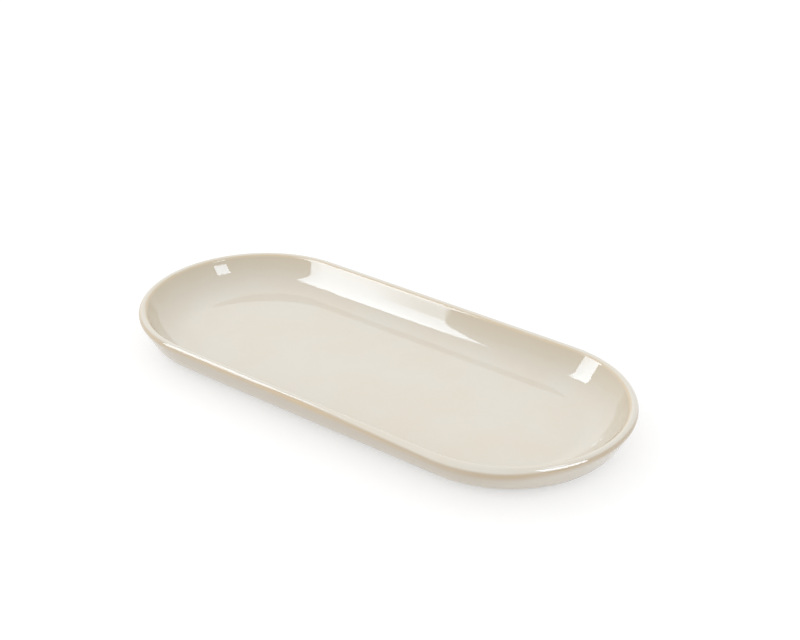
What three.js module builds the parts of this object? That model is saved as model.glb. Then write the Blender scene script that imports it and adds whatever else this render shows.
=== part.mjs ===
// Long serving dish of glazed stoneware: a shallow tray with straight sides and half-round ends.
// Millimetres, +Z up. The origin is the middle of the footprint on the table, X runs along the dish.
import * as THREE from 'three';
import { mergeVertices } from 'three/addons/utils/BufferGeometryUtils.js';

// Overall size of the finished dish
const LENGTH = 318;
const WIDTH = 140;
const HEIGHT = 22;

// Lip: a tight round outside and a wider one inside, which meet along the crest
const LIP_OUTER_RADIUS = 2.4;
const LIP_INNER_RADIUS = 3.2;

// Wall: how far each side leans out from upright, the curves at its foot, and how much further
// the well is drawn in at the middle of its ends, where the wall inside leans out more
const OUTER_LEAN = THREE.MathUtils.degToRad(28);
const INNER_LEAN = THREE.MathUtils.degToRad(28);
const BELLY_RADIUS = 13;
const WELL_FILLET_RADIUS = 17;
const END_EASE = 6;

// Floor, and the foot ring that it stands on
const FLOOR_THICKNESS = 3.4;
const FOOT_HEIGHT = 1.6;
const FOOT_WIDTH = 4;
const FOOT_EDGE_RADIUS = 0.8;

// Glaze: its coat, how much thinner it lies over the lip's two edges, how far it runs in
// under the belly, and the clay wiped bare on both sides of the foot ring
const GLAZE = 0.5;
const EDGE_THINNING = 0.2;
const GLAZE_RUN = 2;
const BARE_STRIP = 2;

// Fineness of the facets, and how near two points are merged
const HALF_TURN_STEPS = 24;
const ARC_DIVISIONS = 3;
const SAME_POINT = 1e-4;

// Profiles are drawn in a plane: x is the distance in from the dish's outermost line, y the height.
// z is how far the point is drawn in along the dish at its ends.
const SPINE = WIDTH / 2;
const CREST = LIP_OUTER_RADIUS;
const FLOOR_TOP = FOOT_HEIGHT + FLOOR_THICKNESS;
const CLAY_FLOOR = FLOOR_TOP - GLAZE;
const CLAY_UNDERSIDE = FOOT_HEIGHT + GLAZE;
const UPWARD = Math.PI / 2;
const DOWNWARD = 1.5 * Math.PI;

// A side of the wall is a straight line that faces along (across, rise) and touches the lip's arc.
function wallSide(across, rise, lipRadius) {
  const reach = across * CREST + rise * (HEIGHT - lipRadius) + lipRadius;
  return { across, rise, reach };
}

// Where an arc's centre lies if it is at this height and this far in front of the wall's side
function arcCentre(side, height, inFront) {
  return (side.reach + inFront - side.rise * height) / side.across;
}

const OUTER_SIDE = wallSide(-Math.cos(OUTER_LEAN), -Math.sin(OUTER_LEAN), LIP_OUTER_RADIUS);
const INNER_SIDE = wallSide(Math.cos(INNER_LEAN), Math.sin(INNER_LEAN), LIP_INNER_RADIUS);

// The curves at the wall's foot are no larger than the wall leaves room for.
const OUTER_ROOM = HEIGHT - LIP_OUTER_RADIUS * (1 + Math.sin(OUTER_LEAN)) - FOOT_HEIGHT;
const INNER_ROOM = HEIGHT - LIP_INNER_RADIUS * (1 - Math.sin(INNER_LEAN)) - FLOOR_TOP;
const BELLY = Math.min(BELLY_RADIUS, OUTER_ROOM / (1 - Math.sin(OUTER_LEAN)));
const WELL_FILLET = Math.min(WELL_FILLET_RADIUS, INNER_ROOM / (1 - Math.sin(INNER_LEAN)));

// Places along the underside, all counted from where the belly has turned level
const BELLY_END = arcCentre(OUTER_SIDE, FOOT_HEIGHT + BELLY, -BELLY);
const GLAZE_LINE = BELLY_END + GLAZE_RUN;
const FOOT_OUTSIDE = GLAZE_LINE + BARE_STRIP;
const FOOT_INSIDE = FOOT_OUTSIDE + FOOT_WIDTH;
const BASE_GLAZE_LINE = FOOT_INSIDE + BARE_STRIP;

// The clay's edge is sharper than the glaze over it, so the coat thins along the edge.
function clayEdgeRadius(lipRadius, turn) {
  const cornerReach = 1 / Math.cos(turn / 2) - 1;
  return lipRadius - GLAZE - EDGE_THINNING / cornerReach;
}

const CLAY_OUTER_EDGE = clayEdgeRadius(LIP_OUTER_RADIUS, Math.PI / 2 + OUTER_LEAN);
const CLAY_INNER_EDGE = clayEdgeRadius(LIP_INNER_RADIUS, Math.PI / 2 - INNER_LEAN);

const at = (x, y, z = 0) => new THREE.Vector3(x, y, z);
const pointsOf = (path) => path.getPoints(ARC_DIVISIONS).map(({ x, y }) => at(x, y));

// From the crest down the outside to the level underside, at a depth below the finished surface
function outsideProfile(depth, lipRadius) {
  const flank = Math.PI + OUTER_LEAN;
  const lipHeight = HEIGHT - depth - lipRadius;
  const path = new THREE.Path();
  path.absarc(arcCentre(OUTER_SIDE, lipHeight, -depth - lipRadius), lipHeight, lipRadius, UPWARD, flank);
  path.absarc(BELLY_END, FOOT_HEIGHT + BELLY, BELLY - depth, flank, DOWNWARD);
  return pointsOf(path);
}

// A point of the well at this inset and height. Its ends are drawn in more and more on the way
// from the foot of the lip's round down to the floor.
function inWell(x, y) {
  const lipFoot = HEIGHT - LIP_INNER_RADIUS * (1 - Math.sin(INNER_LEAN));
  const share = THREE.MathUtils.clamp((lipFoot - y) / (lipFoot - FLOOR_TOP), 0, 1);
  return at(x, y, END_EASE * share);
}

// From the edge of the level floor up the inside to the crest, at a depth below the finished surface
function insideProfile(depth, lipRadius) {
  const filletHeight = FLOOR_TOP + WELL_FILLET;
  const filletCentre = arcCentre(INNER_SIDE, filletHeight, WELL_FILLET);
  const lipHeight = HEIGHT - depth - lipRadius;
  const lipCentre = arcCentre(INNER_SIDE, lipHeight, -depth - lipRadius);
  const path = new THREE.Path();
  path.absarc(filletCentre, filletHeight, WELL_FILLET + depth, DOWNWARD, Math.PI + INNER_LEAN, true);
  path.absarc(lipCentre, lipHeight, lipRadius, INNER_LEAN, UPWARD);
  return path.getPoints(ARC_DIVISIONS).map(({ x, y }) => inWell(x, y));
}

// Quarter-round edge of a coat that lies under the dish
function glazeEdge(centre, startAngle) {
  const path = new THREE.Path();
  path.absarc(centre, CLAY_UNDERSIDE, GLAZE, startAngle, startAngle + Math.PI / 2);
  return pointsOf(path);
}

// Foot ring with both of its edges rounded, from the outside in
function footProfile() {
  const edge = Math.min(FOOT_EDGE_RADIUS, FOOT_WIDTH / 2, CLAY_UNDERSIDE);
  const path = new THREE.Path();
  path.moveTo(FOOT_OUTSIDE, CLAY_UNDERSIDE);
  path.absarc(FOOT_OUTSIDE + edge, edge, edge, Math.PI, DOWNWARD);
  path.absarc(FOOT_INSIDE - edge, edge, edge, DOWNWARD, 2 * Math.PI);
  path.lineTo(FOOT_INSIDE, CLAY_UNDERSIDE);
  return pointsOf(path);
}

// Stations round the plan: two half turns about the ends of the spine, joined by the straight sides
function planStations() {
  const stations = [];
  for (const end of [1, -1]) {
    for (let step = 0; step <= HALF_TURN_STEPS; step += 1) {
      const angle = Math.PI * (step / HALF_TURN_STEPS - end / 2);
      stations.push({ end, along: Math.cos(angle), across: Math.sin(angle) });
    }
  }
  return stations;
}

// Carries a profile round the plan. A profile that starts and ends on the spine closes by itself.
function sweep(profile) {
  const points = profile.filter((point, i) => i === 0 || point.distanceTo(profile[i - 1]) > SAME_POINT);
  const stations = planStations();
  const rows = points.length;
  const spineEnd = (LENGTH - WIDTH) / 2;
  const positions = [];
  for (const { end, along, across } of stations) {
    for (const point of points) {
      const centre = end * (spineEnd - point.z);
      const reach = SPINE - point.x;
      positions.push(centre + reach * along, reach * across, point.y);
    }
  }
  const triangles = [];
  for (let i = 0; i < stations.length; i += 1) {
    const here = i * rows;
    const next = ((i + 1) % stations.length) * rows;
    for (let j = 0; j < rows - 1; j += 1) {
      const [a, b, c, d] = [here + j, here + j + 1, next + j + 1, next + j];
      // Clay and coat share faces, so each is split along the same diagonal whichever way it is drawn.
      const climbing = points[j + 1].y - points[j].y || points[j + 1].x - points[j].x;
      const pair = climbing > 0 ? [[a, b, c], [a, c, d]] : [[a, b, d], [b, c, d]];
      triangles.push(...pair);
    }
  }
  return closedSurface(positions, triangles);
}

// Merges the points that fall together on the spine and drops the triangles that they flatten.
function closedSurface(positions, triangles) {
  const geometry = new THREE.BufferGeometry();
  geometry.setAttribute('position', new THREE.Float32BufferAttribute(positions, 3));
  geometry.setIndex(triangles.flat());
  const merged = mergeVertices(geometry, SAME_POINT);
  const index = merged.getIndex().array;
  const kept = [];
  for (let i = 0; i < index.length; i += 3) {
    const corners = [index[i], index[i + 1], index[i + 2]];
    if (new Set(corners).size === 3) {
      kept.push(...corners);
    }
  }
  merged.setIndex(kept);
  merged.computeVertexNormals();
  return merged;
}

const clayInside = insideProfile(GLAZE, CLAY_INNER_EDGE);
const clayOutside = outsideProfile(GLAZE, CLAY_OUTER_EDGE);
const seamFoot = at(CREST, HEIGHT - GLAZE);

// Pressed clay body: floor, wall and lip, with the foot ring under it
function stonewareBody() {
  return sweep([
    inWell(SPINE, CLAY_FLOOR), ...clayInside, seamFoot, ...clayOutside,
    at(GLAZE_LINE, CLAY_UNDERSIDE), ...footProfile(),
    at(BASE_GLAZE_LINE, CLAY_UNDERSIDE), at(SPINE, CLAY_UNDERSIDE),
  ]);
}

// Glaze poured inside: floor, fillet and wall, up to the crest of the lip
function insideGlaze() {
  return sweep([
    inWell(SPINE, FLOOR_TOP), ...insideProfile(0, LIP_INNER_RADIUS),
    seamFoot, ...clayInside.toReversed(), inWell(SPINE, CLAY_FLOOR),
  ]);
}

// Glaze on the outside: from the crest over the belly to the line above the foot ring
function outsideGlaze() {
  const crest = at(CREST, HEIGHT);
  return sweep([
    crest, ...outsideProfile(0, LIP_OUTER_RADIUS), ...glazeEdge(GLAZE_LINE - GLAZE, DOWNWARD),
    ...clayOutside.toReversed(), seamFoot, crest,
  ]);
}

// Patch of glaze on the base, inside the foot ring
function baseGlaze() {
  return sweep([
    at(SPINE, CLAY_UNDERSIDE), ...glazeEdge(BASE_GLAZE_LINE + GLAZE, Math.PI), at(SPINE, FOOT_HEIGHT),
  ]);
}

const bareClay = new THREE.MeshStandardMaterial({ color: 0xc8ab84, roughness: 0.85, metalness: 0 });
const creamGlaze = new THREE.MeshStandardMaterial({ color: 0xe5dfd2, roughness: 0.12, metalness: 0 });
const outerGlaze = new THREE.MeshStandardMaterial({ color: 0xe0d8ca, roughness: 0.16, metalness: 0 });
const baseCoat = new THREE.MeshStandardMaterial({ color: 0xe2dacc, roughness: 0.18, metalness: 0 });

const dish = new THREE.Group();
const pieces = [
  ['stoneware_body', stonewareBody(), bareClay],
  ['inside_glaze', insideGlaze(), creamGlaze],
  ['outside_glaze', outsideGlaze(), outerGlaze],
  ['base_glaze', baseGlaze(), baseCoat],
];
for (const [name, geometry, material] of pieces) {
  const mesh = new THREE.Mesh(geometry, material);
  mesh.name = name;
  dish.add(mesh);
}

export default dish;
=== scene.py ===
import math

import bpy
from mathutils import Matrix, Vector


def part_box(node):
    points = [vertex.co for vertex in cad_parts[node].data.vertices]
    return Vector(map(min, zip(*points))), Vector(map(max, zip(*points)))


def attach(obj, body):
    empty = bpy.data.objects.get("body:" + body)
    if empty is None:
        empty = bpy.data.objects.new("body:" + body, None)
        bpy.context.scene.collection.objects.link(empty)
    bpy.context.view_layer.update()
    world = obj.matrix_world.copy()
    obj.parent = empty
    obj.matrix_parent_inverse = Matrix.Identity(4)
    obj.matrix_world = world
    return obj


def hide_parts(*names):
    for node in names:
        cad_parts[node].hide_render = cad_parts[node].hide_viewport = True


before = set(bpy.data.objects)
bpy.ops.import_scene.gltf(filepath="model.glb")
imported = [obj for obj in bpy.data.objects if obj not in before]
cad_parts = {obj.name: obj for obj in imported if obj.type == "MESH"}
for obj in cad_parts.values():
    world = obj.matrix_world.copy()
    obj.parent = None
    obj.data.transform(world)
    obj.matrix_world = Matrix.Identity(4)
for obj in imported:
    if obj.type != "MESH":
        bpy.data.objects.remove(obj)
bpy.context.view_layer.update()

# Camera
# A long normal lens above the table, to the right of the dish's near side, aimed just above
# its middle. The distances are the real ones, in metres.
MM = 0.001
VIEW_AZIMUTH = math.radians(37.63)
VIEW_ELEVATION = math.radians(28.07)
VIEW_DISTANCE = 829.0 * MM
AIM_RIGHT = 14.5 * MM
AIM_UP = 34.2 * MM
LENS = 65.47


def direction(azimuth, elevation):
    """Unit vector from the dish outwards. Azimuth 0 is the near side, and +X is at a quarter turn."""
    level = math.cos(elevation)
    return Vector((math.sin(azimuth) * level, -math.cos(azimuth) * level, math.sin(elevation)))


bpy.ops.object.select_all(action="DESELECT")
toward_camera = direction(VIEW_AZIMUTH, VIEW_ELEVATION)
camera_turn = toward_camera.to_track_quat("Z", "Y")
camera_place = camera_turn @ Vector((AIM_RIGHT, AIM_UP, VIEW_DISTANCE))
bpy.ops.object.camera_add(location=camera_place, rotation=camera_turn.to_euler())
camera = bpy.context.active_object
camera.name = "photo_camera"
camera.data.lens = LENS
bpy.context.scene.camera = camera
bpy.context.scene.view_settings.view_transform = "Standard"


# Clay body
# Buff stoneware, pressed over a mould in one piece: floor, wall, lip and foot ring. Glaze hides
# it except on the foot ring and the strips beside it, which are wiped clean before the firing.
coat_low, coat_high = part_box("outside_glaze")
HEIGHT = coat_high.z
HALF_WIDTH = coat_high.y
SPINE_END = coat_high.x - coat_high.y
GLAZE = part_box("inside_glaze")[1].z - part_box("stoneware_body")[1].z
FOOT_HEIGHT = coat_low.z
CLAY_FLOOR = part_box("inside_glaze")[0].z
LIP_OUTER_RADIUS = 2.4 * MM
LIP_INNER_RADIUS = 3.2 * MM
OUTER_LEAN = math.radians(28)
INNER_LEAN = math.radians(28)
BELLY_RADIUS = 13 * MM
WELL_FILLET_RADIUS = 17 * MM
END_EASE = 6 * MM
EASE_START = 0.4
CAGE_ROWS = 41
EDGE_THINNING = 0.2 * MM
GLAZE_RUN = 2 * MM
BARE_STRIP = 2 * MM
FOOT_WIDTH = 4 * MM
FOOT_EDGE_RADIUS = 0.8 * MM
ARC_STEP = math.radians(2)
WALL_STEPS = 10
HALF_TURN_STEPS = 120
SAME_POINT = 1e-6
CREASE = math.radians(40)

CREST = LIP_OUTER_RADIUS
FLOOR_TOP = CLAY_FLOOR + GLAZE
LIP_FOOT = HEIGHT - LIP_INNER_RADIUS * (1 - math.sin(INNER_LEAN))
CLAY_UNDERSIDE = FOOT_HEIGHT + GLAZE
UP = math.pi / 2
DOWN = 1.5 * math.pi
OUTER_FLANK = math.pi + OUTER_LEAN
INNER_FLANK = math.pi + INNER_LEAN


def flank_centre(facing, lip_radius, height, in_front):
    """Inset of an arc's centre at a height, so far in front of the wall that leaves the lip facing so."""
    across = math.cos(facing)
    rise = math.sin(facing)
    reach = across * CREST + rise * (HEIGHT - lip_radius) + lip_radius
    return (reach + in_front - rise * height) / across


def clay_edge_radius(lip_radius, turn):
    """The clay's edge is sharper than the glaze over it, so that the coat thins along it."""
    return lip_radius - GLAZE - EDGE_THINNING / (1 / math.cos(turn / 2) - 1)


def outside_arcs(depth, lip_radius):
    """Lip and belly, from the crest down, at a depth under the glaze's surface."""
    lip_height = HEIGHT - depth - lip_radius
    lip = flank_centre(OUTER_FLANK, LIP_OUTER_RADIUS, lip_height, -depth - lip_radius)
    return [
        (lip, lip_height, lip_radius, UP, OUTER_FLANK),
        (BELLY_END, FOOT_HEIGHT + BELLY_RADIUS, BELLY_RADIUS - depth, OUTER_FLANK, DOWN),
    ]


def inside_arcs(depth, lip_radius):
    """Fillet and lip, from the floor up, at a depth under the glaze's surface."""
    lip_height = HEIGHT - depth - lip_radius
    lip = flank_centre(INNER_LEAN, LIP_INNER_RADIUS, lip_height, -depth - lip_radius)
    return [
        (FILLET_CENTRE, FLOOR_TOP + WELL_FILLET_RADIUS, WELL_FILLET_RADIUS + depth, DOWN, INNER_FLANK),
        (lip, lip_height, lip_radius, INNER_LEAN, UP),
    ]


def backwards(arcs):
    """The same arcs, followed from their other end."""
    return [(inset, height, radius, end, start) for inset, height, radius, start, end in reversed(arcs)]


class Profile:
    """A line drawn from point to point in the plane across the dish at one end of its spine.

    A point is given by its inset from the dish's outermost line and its height. The line is then
    carried round the dish: half a turn about each end of the spine, and straight along the sides.
    """

    def __init__(self, name, inset, height):
        self.point = self.place(inset, height)
        bpy.ops.object.select_all(action="DESELECT")
        bpy.ops.mesh.primitive_plane_add(size=MM, location=self.point)
        bpy.ops.object.transform_apply(location=True)
        self.piece = bpy.context.active_object
        self.piece.name = name
        self.piece.data.name = name
        bpy.ops.object.mode_set(mode="EDIT")
        bpy.ops.mesh.select_mode(type="VERT")
        bpy.ops.mesh.select_all(action="SELECT")
        bpy.ops.mesh.merge(type="CENTER")

    def place(self, inset, height):
        return Vector((SPINE_END, inset - HALF_WIDTH, height))

    def line(self, inset, height, steps=1):
        stride = (self.place(inset, height) - self.point) / steps
        if stride.length > SAME_POINT:
            for _ in range(steps):
                bpy.ops.mesh.extrude_region_move(TRANSFORM_OT_translate={"value": stride})
            self.point = self.place(inset, height)

    def follow(self, arcs):
        for inset, height, radius, start, end in arcs:
            self.line(inset + radius * math.cos(start), height + radius * math.sin(start), WALL_STEPS)
            steps = max(1, round(abs(end - start) / ARC_STEP))
            centre = self.place(inset, height)
            bpy.ops.mesh.spin(steps=steps, angle=start - end, center=centre, axis=(1, 0, 0))
            self.point = self.place(inset + radius * math.cos(end), height + radius * math.sin(end))

    def carry_round(self):
        bpy.ops.mesh.select_all(action="SELECT")
        for end in (SPINE_END, -SPINE_END):
            bpy.ops.mesh.spin(steps=HALF_TURN_STEPS, angle=-math.pi, center=(end, 0, 0), axis=(0, 0, 1))
            bpy.ops.mesh.extrude_region_move(TRANSFORM_OT_translate={"value": (-2 * end, 0, 0)})
        bpy.ops.object.mode_set(mode="OBJECT")
        weld(self.piece)
        return self.piece


def weld(piece):
    """Merges the points that lie together, turns all faces outwards and smooths all but the creases."""
    bpy.context.view_layer.objects.active = piece
    bpy.ops.object.mode_set(mode="EDIT")
    bpy.ops.mesh.select_all(action="SELECT")
    bpy.ops.mesh.remove_doubles(threshold=SAME_POINT)
    bpy.ops.mesh.normals_make_consistent(inside=False)
    bpy.ops.object.mode_set(mode="OBJECT")
    bpy.ops.object.shade_smooth_by_angle(angle=CREASE)


def draw_in_ends(piece):
    """Draws the well in along the dish at both ends, gently under the lip and more toward the floor."""
    bpy.ops.object.select_all(action="DESELECT")
    bpy.ops.object.add(type="LATTICE", location=(0, 0, LIP_FOOT))
    cage = bpy.context.active_object
    cage.data.points_u = 2
    cage.data.points_v = 1
    cage.data.points_w = CAGE_ROWS
    cage.data.interpolation_type_u = "KEY_LINEAR"
    cage.data.interpolation_type_w = "KEY_LINEAR"
    cage.scale = (2 * SPINE_END, 1, 2 * (LIP_FOOT - FLOOR_TOP))
    for point in cage.data.points:
        sunk = max(0.0, -2 * point.co.z)
        drawn_in = END_EASE * sunk * (EASE_START + (1 - EASE_START) * sunk)
        point.co_deform.x -= math.copysign(drawn_in / cage.scale.x, point.co.x)
    shaping = piece.modifiers.new("drawn_in_ends", "LATTICE")
    shaping.object = cage
    bpy.context.view_layer.objects.active = piece
    bpy.ops.object.modifier_apply(modifier=shaping.name)
    bpy.data.objects.remove(cage)


BELLY_END = flank_centre(OUTER_FLANK, LIP_OUTER_RADIUS, FOOT_HEIGHT + BELLY_RADIUS, -BELLY_RADIUS)
FILLET_CENTRE = flank_centre(
    INNER_LEAN, LIP_INNER_RADIUS, FLOOR_TOP + WELL_FILLET_RADIUS, WELL_FILLET_RADIUS)
GLAZE_LINE = BELLY_END + GLAZE_RUN
FOOT_OUTSIDE = GLAZE_LINE + BARE_STRIP
FOOT_INSIDE = FOOT_OUTSIDE + FOOT_WIDTH
BASE_GLAZE_LINE = FOOT_INSIDE + BARE_STRIP

clay_inside = inside_arcs(GLAZE, clay_edge_radius(LIP_INNER_RADIUS, math.pi / 2 - INNER_LEAN))
clay_outside = outside_arcs(GLAZE, clay_edge_radius(LIP_OUTER_RADIUS, math.pi / 2 + OUTER_LEAN))
foot_ring = [
    (FOOT_OUTSIDE + FOOT_EDGE_RADIUS, FOOT_EDGE_RADIUS, FOOT_EDGE_RADIUS, math.pi, DOWN),
    (FOOT_INSIDE - FOOT_EDGE_RADIUS, FOOT_EDGE_RADIUS, FOOT_EDGE_RADIUS, DOWN, 2 * math.pi),
]

well_line = Profile("clay_well", HALF_WIDTH, CLAY_FLOOR)
well_line.follow(clay_inside)
well_line.line(CREST, HEIGHT - GLAZE)
clay_well = well_line.carry_round()
draw_in_ends(clay_well)

clay_line = Profile("clay_body", CREST, HEIGHT - GLAZE)
clay_line.follow(clay_outside)
clay_line.line(GLAZE_LINE, CLAY_UNDERSIDE)
clay_line.line(FOOT_OUTSIDE, CLAY_UNDERSIDE)
clay_line.follow(foot_ring)
clay_line.line(FOOT_INSIDE, CLAY_UNDERSIDE)
clay_line.line(BASE_GLAZE_LINE, CLAY_UNDERSIDE)
clay_line.line(HALF_WIDTH, CLAY_UNDERSIDE)
clay_body = clay_line.carry_round()
clay_well.select_set(True)
clay_body.select_set(True)
bpy.ops.object.join()
weld(clay_body)


class Wire:
    """One output of a shader node. Sums and products of wires and numbers add Math nodes."""

    def __init__(self, tree, socket):
        self.tree = tree
        self.socket = socket

    def node(self, kind, settings, sockets, output=0):
        made = self.tree.nodes.new(kind)
        for name, value in settings.items():
            setattr(made, name, value)
        for name, value in sockets.items():
            self.feed(made.inputs[name], value)
        return Wire(self.tree, made.outputs[output])

    def feed(self, socket, value):
        if isinstance(value, Wire):
            self.tree.links.new(value.socket, socket)
        else:
            socket.default_value = value

    def math(self, operation, first, second=0.0):
        return self.node("ShaderNodeMath", {"operation": operation}, {0: first, 1: second})

    def __add__(self, other):
        return self.math("ADD", self, other)

    def __radd__(self, other):
        return self.math("ADD", other, self)

    def __sub__(self, other):
        return self.math("SUBTRACT", self, other)

    def __rsub__(self, other):
        return self.math("SUBTRACT", other, self)

    def __mul__(self, other):
        return self.math("MULTIPLY", self, other)

    def __rmul__(self, other):
        return self.math("MULTIPLY", other, self)

    def __truediv__(self, other):
        return self.math("DIVIDE", self, other)

    def __pow__(self, other):
        return self.math("POWER", self, other)

    def __abs__(self):
        return self.math("ABSOLUTE", self)

    def at_least(self, low):
        return self.math("MAXIMUM", self, low)

    def ramp(self, start, end, low=0.0, high=1.0, course="SMOOTHSTEP"):
        """Goes from low at start to high at end, and stays there."""
        sockets = {"Value": self, "From Min": start, "From Max": end, "To Min": low, "To Max": high}
        return self.node("ShaderNodeMapRange", {"interpolation_type": course}, sockets)

    def noise(self, scale, detail, roughness):
        sockets = {"Vector": self, "Scale": scale, "Detail": detail, "Roughness": roughness}
        return self.node("ShaderNodeTexNoise", {}, sockets)

    def blend(self, base, top):
        """Mixes two colours, with this wire as the share of the top one. Sockets 6 and 7 take colours."""
        settings = {"data_type": "RGBA", "clamp_factor": True}
        return self.node("ShaderNodeMix", settings, {0: self, 6: base, 7: top}, output=2)

    def bump(self, distance):
        return self.node("ShaderNodeBump", {}, {"Height": self, "Distance": distance, "Strength": 1.0})

    def axis(self, name):
        """One of a place's three numbers."""
        return self.node("ShaderNodeSeparateXYZ", {}, {"Vector": self}, name)


def new_finish(piece, name):
    """Gives a piece its own material, and returns its shader and the wire of its own coordinates."""
    finish = bpy.data.materials.new(name)
    finish.use_nodes = True
    tree = finish.node_tree
    piece.data.materials.append(finish)
    shader = tree.nodes["Principled BSDF"]
    return shader, Wire(tree, tree.nodes.new("ShaderNodeTexCoord").outputs["Object"])


CLAY_BUFF = (0.56, 0.40, 0.24, 1)
CLAY_TOAST = (0.45, 0.30, 0.165, 1)
IRON_SPECK = (0.16, 0.09, 0.05, 1)
CLOUDS_PER_METRE = 38
GRAINS_PER_METRE = 1400
SPECKS_PER_METRE = 520
SPECK_STRENGTH = 0.7
SPECK_RANGE = (0.70, 0.78)
TOAST_RANGE = (0.35, 0.7)
CLAY_ROUGHNESS = 0.78
GRAIN_ROUGHNESS = 0.16
GRAIN_DEPTH = 0.12 * MM
CLAY_IOR = 1.5

clay_shader, clay_place = new_finish(clay_body, "bare_stoneware")
clay_cloud = clay_place.noise(CLOUDS_PER_METRE, detail=4, roughness=0.6)
clay_grain = clay_place.noise(GRAINS_PER_METRE, detail=3, roughness=0.7)
clay_specks = clay_place.noise(SPECKS_PER_METRE, detail=1, roughness=0.4).ramp(*SPECK_RANGE)
toasted = clay_cloud.ramp(*TOAST_RANGE).blend(CLAY_BUFF, CLAY_TOAST)
clay_colour = (clay_specks * SPECK_STRENGTH).blend(toasted, IRON_SPECK)
clay_place.feed(clay_shader.inputs["Base Color"], clay_colour)
clay_place.feed(clay_shader.inputs["Roughness"], CLAY_ROUGHNESS + clay_grain * GRAIN_ROUGHNESS)
clay_place.feed(clay_shader.inputs["Normal"], clay_grain.bump(GRAIN_DEPTH))
clay_shader.inputs["IOR"].default_value = CLAY_IOR

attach(clay_body, "root")
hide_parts("stoneware_body")


# Inside glaze
# Glossy cream glaze poured into the well and swilled up to the crest of the lip. It lies thick on
# the floor, thinner on the wall, and so thin over the lip's inner edge that the clay shows tan. The
# wall's darker, warmer colour is partly that thinner glaze and partly painted shade.
GLAZE_CREAM = (0.76, 0.722, 0.641, 1)
GLAZE_WARM = (0.757, 0.70, 0.603, 1)
# Painted shade, partly thinner glaze: the inside wall turns toward this darker, warmer colour.
WALL_GLAZE_AND_PAINTED_SHADE = (0.65, 0.572, 0.447, 1)
GLAZE_TAN = (0.68, 0.53, 0.33, 1)
GLAZE_IOR = 1.55
GLAZE_ROUGHNESS = 0.015
CLOUD_ROUGHNESS = 0.01
GLAZE_CLOUDS_PER_METRE = 30
CLOUD_RANGE = (0.35, 0.65)
RIPPLES_PER_METRE = 70
RIPPLE_DEPTH = 0.03 * MM
TAN_PATCHES_PER_METRE = 45
TAN_PATCH_RANGE = (0.3, 0.7)
INNER_TAN_INSET = 4.3 * MM
INNER_TAN_REACH = 1.0 * MM
INNER_TAN_LEAST = 0.45
INNER_TAN_MOST = 0.8

inside_line = Profile("inside_glaze_coat", HALF_WIDTH, FLOOR_TOP)
inside_line.follow(inside_arcs(0, LIP_INNER_RADIUS))
inside_line.line(CREST, HEIGHT - GLAZE)
inside_line.follow(backwards(clay_inside))
inside_line.line(HALF_WIDTH, CLAY_FLOOR)
inside_coat = inside_line.carry_round()
draw_in_ends(inside_coat)


def plan_inset(place):
    """Distance in from the dish's outermost line."""
    past_spine = (abs(place.axis("X")) - SPINE_END).at_least(0.0)
    across = place.axis("Y")
    return HALF_WIDTH - (past_spine * past_spine + across * across) ** 0.5


def tan_patches(place, least, most):
    """How strong the tan is along an edge, uneven from place to place."""
    return place.noise(TAN_PATCHES_PER_METRE, detail=3, roughness=0.55).ramp(*TAN_PATCH_RANGE, least, most)


def glaze_finish(shader, place, thin_edge, thin_colour, painted_light_and_deeper_share, painted_light_and_deeper_colour, roughness):
    """Cream glaze with faint clouds, mixed by a share toward a second colour (painted shade and painted
    light on the walls, deeper glaze in patches on the base), and tan where it is thin over an edge.
    """
    clouds = place.noise(GLAZE_CLOUDS_PER_METRE, detail=3, roughness=0.5).ramp(*CLOUD_RANGE)
    cream = clouds.blend(GLAZE_CREAM, GLAZE_WARM)
    # The second colour is painted shade and painted light on the walls, and deeper glaze on the base.
    cream_painted_light_and_deeper = painted_light_and_deeper_share.blend(cream, painted_light_and_deeper_colour)
    place.feed(shader.inputs["Base Color"], thin_edge.blend(cream_painted_light_and_deeper, thin_colour))
    ripple = place.noise(RIPPLES_PER_METRE, detail=2, roughness=0.4)
    place.feed(shader.inputs["Roughness"], roughness + clouds * CLOUD_ROUGHNESS)
    place.feed(shader.inputs["Normal"], ripple.bump(RIPPLE_DEPTH))
    shader.inputs["IOR"].default_value = GLAZE_IOR


inside_shader, inside_place = new_finish(inside_coat, "cream_glaze_inside")
inside_height = inside_place.axis("Z")
inner_edge = abs(plan_inset(inside_place) - INNER_TAN_INSET).ramp(INNER_TAN_REACH, 0.0)
inner_tan = inner_edge * tan_patches(inside_place, INNER_TAN_LEAST, INNER_TAN_MOST)
# Share of the painted shade: none on the floor, rising up the wall to the lip's foot, fading over the lip.
up_wall = inside_height.ramp(FLOOR_TOP, LIP_FOOT, course="LINEAR")
inner_wall_shade_share = up_wall * inside_height.ramp(HEIGHT, LIP_FOOT)
glaze_finish(
    inside_shader, inside_place, inner_tan, GLAZE_TAN, inner_wall_shade_share, WALL_GLAZE_AND_PAINTED_SHADE, GLAZE_ROUGHNESS)

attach(inside_coat, "root")
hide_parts("inside_glaze")


# Outside glaze
# The same glaze dipped on from outside, from the crest over the belly to the wiped line above the
# foot, where it ends in a rounded bead. The lip's outer edge breaks to a tan line under the crest,
# which sags and darkens toward the right. Under the crest the wall is painted darker, as painted
# shade, and lighter toward the belly and the right end, as painted light.
# Painted shade on the outside wall, darker than the cream; on the base, the deeper glaze of its patches.
DEEPER_GLAZE_AND_PAINTED_SHADE = (0.57, 0.50, 0.405, 1)
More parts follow.
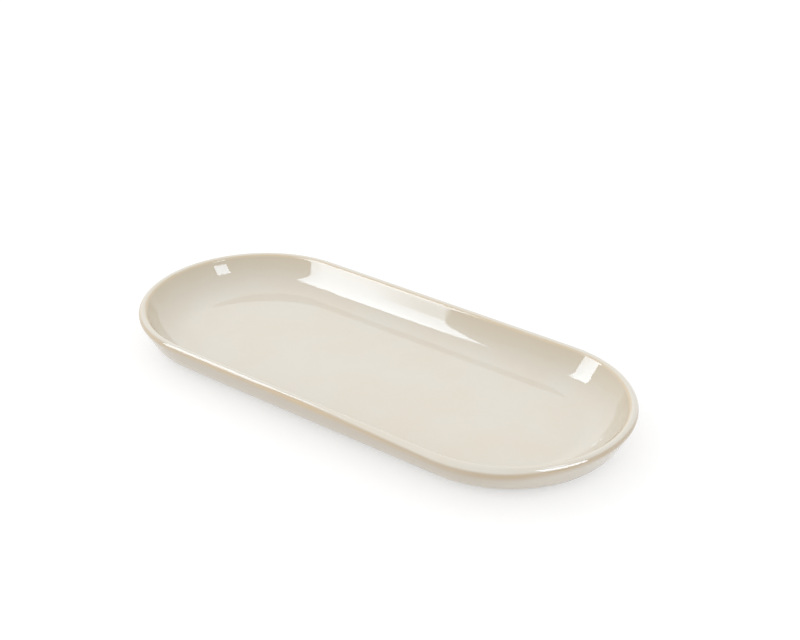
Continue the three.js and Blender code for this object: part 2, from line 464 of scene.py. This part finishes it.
# Painted light: the belly and the right end are lifted toward this paler colour, for light thrown up from
# the white table and in from the right.
GLAZE_PAINTED_LIT = (0.69, 0.635, 0.55, 1)
GLAZE_DEEP_TAN = (0.55, 0.42, 0.26, 1)
WALL_HEIGHT = 18 * MM
BELLY_HEIGHT = 3.5 * MM
PAINTED_LIT_END_START = 105 * MM
PAINTED_LIT_END = 154 * MM
PAINTED_LIT_END_SHARE = 0.8
OUTER_TAN_HEIGHT = 20.7 * MM
OUTER_TAN_ABOVE = 1.3 * MM
OUTER_TAN_BELOW = 4.2 * MM
OUTER_TAN_SPREAD = 0.6
OUTER_TAN_FULL = 0.3
OUTER_TAN_LEAST = 0.45
OUTER_TAN_MOST = 0.75
SAG = 4.2 * MM
SAG_START = -10 * MM
SAG_DEEPEST = 120 * MM
SAG_END = 167 * MM
FAINT_TAN_END = -110 * MM
FAINT_TAN_SHARE = 0.7
FULL_TAN_START = 20 * MM
DEEP_TAN_START = 0 * MM
DEEP_TAN_FULL = 110 * MM


def bead(centre, start):
    """Quarter-round edge of a coat that ends under the dish."""
    return [(centre, CLAY_UNDERSIDE, GLAZE, start, start + math.pi / 2)]


outside_line = Profile("outside_glaze_coat", CREST, HEIGHT)
outside_line.follow(outside_arcs(0, LIP_OUTER_RADIUS))
outside_line.follow(bead(GLAZE_LINE - GLAZE, DOWN))
outside_line.follow(backwards(clay_outside))
outside_line.line(CREST, HEIGHT - GLAZE)
outside_line.line(CREST, HEIGHT)
outside_coat = outside_line.carry_round()

outside_shader, outside_place = new_finish(outside_coat, "cream_glaze_outside")
outside_along = outside_place.axis("X")
outside_height = outside_place.axis("Z")
sagging = outside_along.ramp(SAG_START, SAG_DEEPEST) * outside_along.ramp(SAG_END, SAG_DEEPEST)
tan_sag = SAG * sagging
above_tan = outside_height - (OUTER_TAN_HEIGHT - tan_sag)
# Share of the wall's painted colour: none on the crest, full from the tan down; it also bounds the tan.
outer_wall = (above_tan / (OUTER_TAN_ABOVE + tan_sag * OUTER_TAN_SPREAD)).ramp(1.0, OUTER_TAN_FULL)
outer_edge = outer_wall * above_tan.ramp(-OUTER_TAN_BELOW, 0.0)
outer_patches = tan_patches(outside_place, OUTER_TAN_LEAST, OUTER_TAN_MOST)
faint_end = outside_along.ramp(FAINT_TAN_END, FULL_TAN_START, FAINT_TAN_SHARE, 1.0)
outer_tan = outer_edge * (outer_patches * faint_end)
tan_colour = outside_along.ramp(DEEP_TAN_START, DEEP_TAN_FULL).blend(GLAZE_TAN, GLAZE_DEEP_TAN)
# Painted light: paler toward the belly and over the right end.
painted_lit_end = outside_along.ramp(PAINTED_LIT_END_START, PAINTED_LIT_END, 0.0, PAINTED_LIT_END_SHARE)
painted_lit_share = outside_height.ramp(WALL_HEIGHT, BELLY_HEIGHT) + painted_lit_end
painted_light_and_deeper_colour = painted_lit_share.blend(DEEPER_GLAZE_AND_PAINTED_SHADE, GLAZE_PAINTED_LIT)
glaze_finish(
    outside_shader, outside_place, outer_tan, tan_colour, outer_wall, painted_light_and_deeper_colour, GLAZE_ROUGHNESS)

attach(outside_coat, "root")
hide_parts("outside_glaze")


# Base glaze
# A patch of the same glaze on the base, inside the foot ring, brushed on and wiped back from the
# ring. It is a little less glossy than the inside, and its rim thins to tan.
BASE_ROUGHNESS = 0.09
BASE_TAN_REACH = 2.5 * MM
BASE_TAN_LEAST = 0.4
BASE_TAN_MOST = 0.9
BASE_DEEPER_SHARE = 0.4

base_line = Profile("base_glaze_coat", HALF_WIDTH, CLAY_UNDERSIDE)
base_line.line(BASE_GLAZE_LINE, CLAY_UNDERSIDE)
base_line.follow(bead(BASE_GLAZE_LINE + GLAZE, math.pi))
base_line.line(HALF_WIDTH, FOOT_HEIGHT)
base_coat = base_line.carry_round()

base_shader, base_place = new_finish(base_coat, "cream_glaze_base")
base_patches = tan_patches(base_place, BASE_TAN_LEAST, BASE_TAN_MOST)
base_edge = plan_inset(base_place).ramp(BASE_GLAZE_LINE + BASE_TAN_REACH, BASE_GLAZE_LINE)
base_tan = base_edge * base_patches
base_deeper = base_patches * BASE_DEEPER_SHARE
glaze_finish(base_shader, base_place, base_tan, GLAZE_TAN, base_deeper, DEEPER_GLAZE_AND_PAINTED_SHADE, BASE_ROUGHNESS)

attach(base_coat, "root")
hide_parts("base_glaze")


# Table
# A plain white sheet that the dish stands on, wide enough to fill the view. It takes the dish's
# shadow. Where it is seen, straight or in the gloss, it is lifted to white.
TABLE_WIDTH = 40.0
TABLE_WHITE = (0.94, 0.94, 0.94, 1)
TABLE_SEEN = (0.50, 0.50, 0.50, 1)
TABLE_GLOW = 0.53
TABLE_ROUGHNESS = 0.9
NO_GLOW = (0, 0, 0, 1)
WHITE_GLOW = (1, 1, 1, 1)

bpy.ops.object.select_all(action="DESELECT")
bpy.ops.mesh.primitive_plane_add(size=TABLE_WIDTH)
table = bpy.context.active_object
table.name = "white_table"
table_shader, table_place = new_finish(table, "white_paper")
seen_straight = table_place.node("ShaderNodeLightPath", {}, {}, "Is Camera Ray")
seen_in_gloss = table_place.node("ShaderNodeLightPath", {}, {}, "Is Glossy Ray")
seen_through = table_place.node("ShaderNodeLightPath", {}, {}, "Is Transmission Ray")
seen = seen_straight + seen_in_gloss + seen_through
table_place.feed(table_shader.inputs["Base Color"], seen.blend(TABLE_WHITE, TABLE_SEEN))
table_shader.inputs["Roughness"].default_value = TABLE_ROUGHNESS
table_place.feed(table_shader.inputs["Emission Color"], seen.blend(NO_GLOW, WHITE_GLOW))
table_shader.inputs["Emission Strength"].default_value = TABLE_GLOW


# Studio light
# A tall softbox close to the dish at the front left, aimed past its left end, a small one high at
# the right, a wide one low beyond the right end, and a white room, a little brighter at the left.
# The softboxes show in the gloss only, and the room lights the dish.
LAMP_WHITE = (0.74, 0.86, 1.0)
DISH_MIDDLE = (0, 0, 0)
PAST_LEFT_END = (-0.1881, 0.0855, 0)
WATTS_PER_AREA = 4
RIGHT_SIDE = (0.4, 0.96)
RIGHT_LEVEL = 0.86
CORNER_ACROSS = (0.49, 0.91)
CORNER_UP = (0.2, 0.1)
CORNER_DIMMING = 0.35
TIP_ACROSS = (0.65, 0.95)
TIP_UP = (0.86, 0.98)
TIP_DIMMING = 0.8
SOFT_SIDE = 0.97
SOFT_FOOT = 0.03
ROOM_LIGHT = 1.0
ROOM_WHITE = (1, 1, 1, 1)
ROOM_TILT = (-0.22, 0.0, 0.0)


def softbox(name, azimuth, elevation, distance, aim, roll, width, height, radiance):
    """Flat rectangular lamp that faces its aim. Its power follows from how bright its face is."""
    place = direction(math.radians(azimuth), math.radians(elevation)) * distance
    facing = (place - Vector(aim)).to_track_quat("Z", "Y").to_matrix()
    turn = facing @ Matrix.Rotation(math.radians(roll), 3, "Z")
    bpy.ops.object.light_add(type="AREA", location=place, rotation=turn.to_euler())
    lamp = bpy.context.active_object
    lamp.name = name
    lamp.data.shape = "RECTANGLE"
    lamp.data.size = width
    lamp.data.size_y = height
    lamp.data.energy = WATTS_PER_AREA * width * height * radiance
    lamp.data.color = LAMP_WHITE
    lamp.visible_diffuse = False
    lamp.visible_camera = False
    return lamp


front_softbox = softbox(
    "front_softbox", azimuth=-56.95, elevation=37.13, distance=0.4236, aim=PAST_LEFT_END,
    roll=3.97, width=0.1686, height=0.3312, radiance=6.5)
softbox(
    "side_softbox", azimuth=91.5, elevation=52.4, distance=1.2, aim=DISH_MIDDLE,
    roll=-14, width=0.25, height=0.23, radiance=6.2)
softbox(
    "end_softbox", azimuth=82, elevation=15, distance=1.2, aim=DISH_MIDDLE,
    roll=0, width=0.78, height=0.70, radiance=9.5)

front_softbox.data.use_nodes = True
front_face = front_softbox.data.node_tree
face_place = Wire(front_face, front_face.nodes.new("ShaderNodeNewGeometry").outputs["Parametric"])
face_across = face_place.axis("X")
face_up = face_place.axis("Y")
face_corner = face_across.ramp(*CORNER_ACROSS) * face_up.ramp(*CORNER_UP)
face_tip = face_across.ramp(*TIP_ACROSS) * face_up.ramp(*TIP_UP)
face_wide = face_across.ramp(*RIGHT_SIDE, 1.0, RIGHT_LEVEL)
face_middle = face_wide - face_corner * CORNER_DIMMING - face_tip * TIP_DIMMING
face_side = face_across.ramp(1.0, SOFT_SIDE, course="LINEAR")
face_foot = face_up.ramp(0.0, SOFT_FOOT, course="LINEAR")
face_level = face_foot * (face_middle.at_least(0.0) * face_side)
face_place.feed(front_face.nodes["Emission"].inputs["Strength"], face_level)

room = bpy.data.worlds.new("white_room")
bpy.context.scene.world = room
room.use_nodes = True
room_face = room.node_tree.nodes["Background"]
room_face.inputs["Color"].default_value = ROOM_WHITE
room_way = Wire(room.node_tree, room.node_tree.nodes.new("ShaderNodeTexCoord").outputs["Generated"])
tilt_settings = {"operation": "DOT_PRODUCT"}
room_tilt = room_way.node("ShaderNodeVectorMath", tilt_settings, {0: room_way, 1: ROOM_TILT}, "Value")
room_way.feed(room_face.inputs["Strength"], ROOM_LIGHT + room_tilt)


# Bring the scene up to date
bpy.context.view_layer.update()
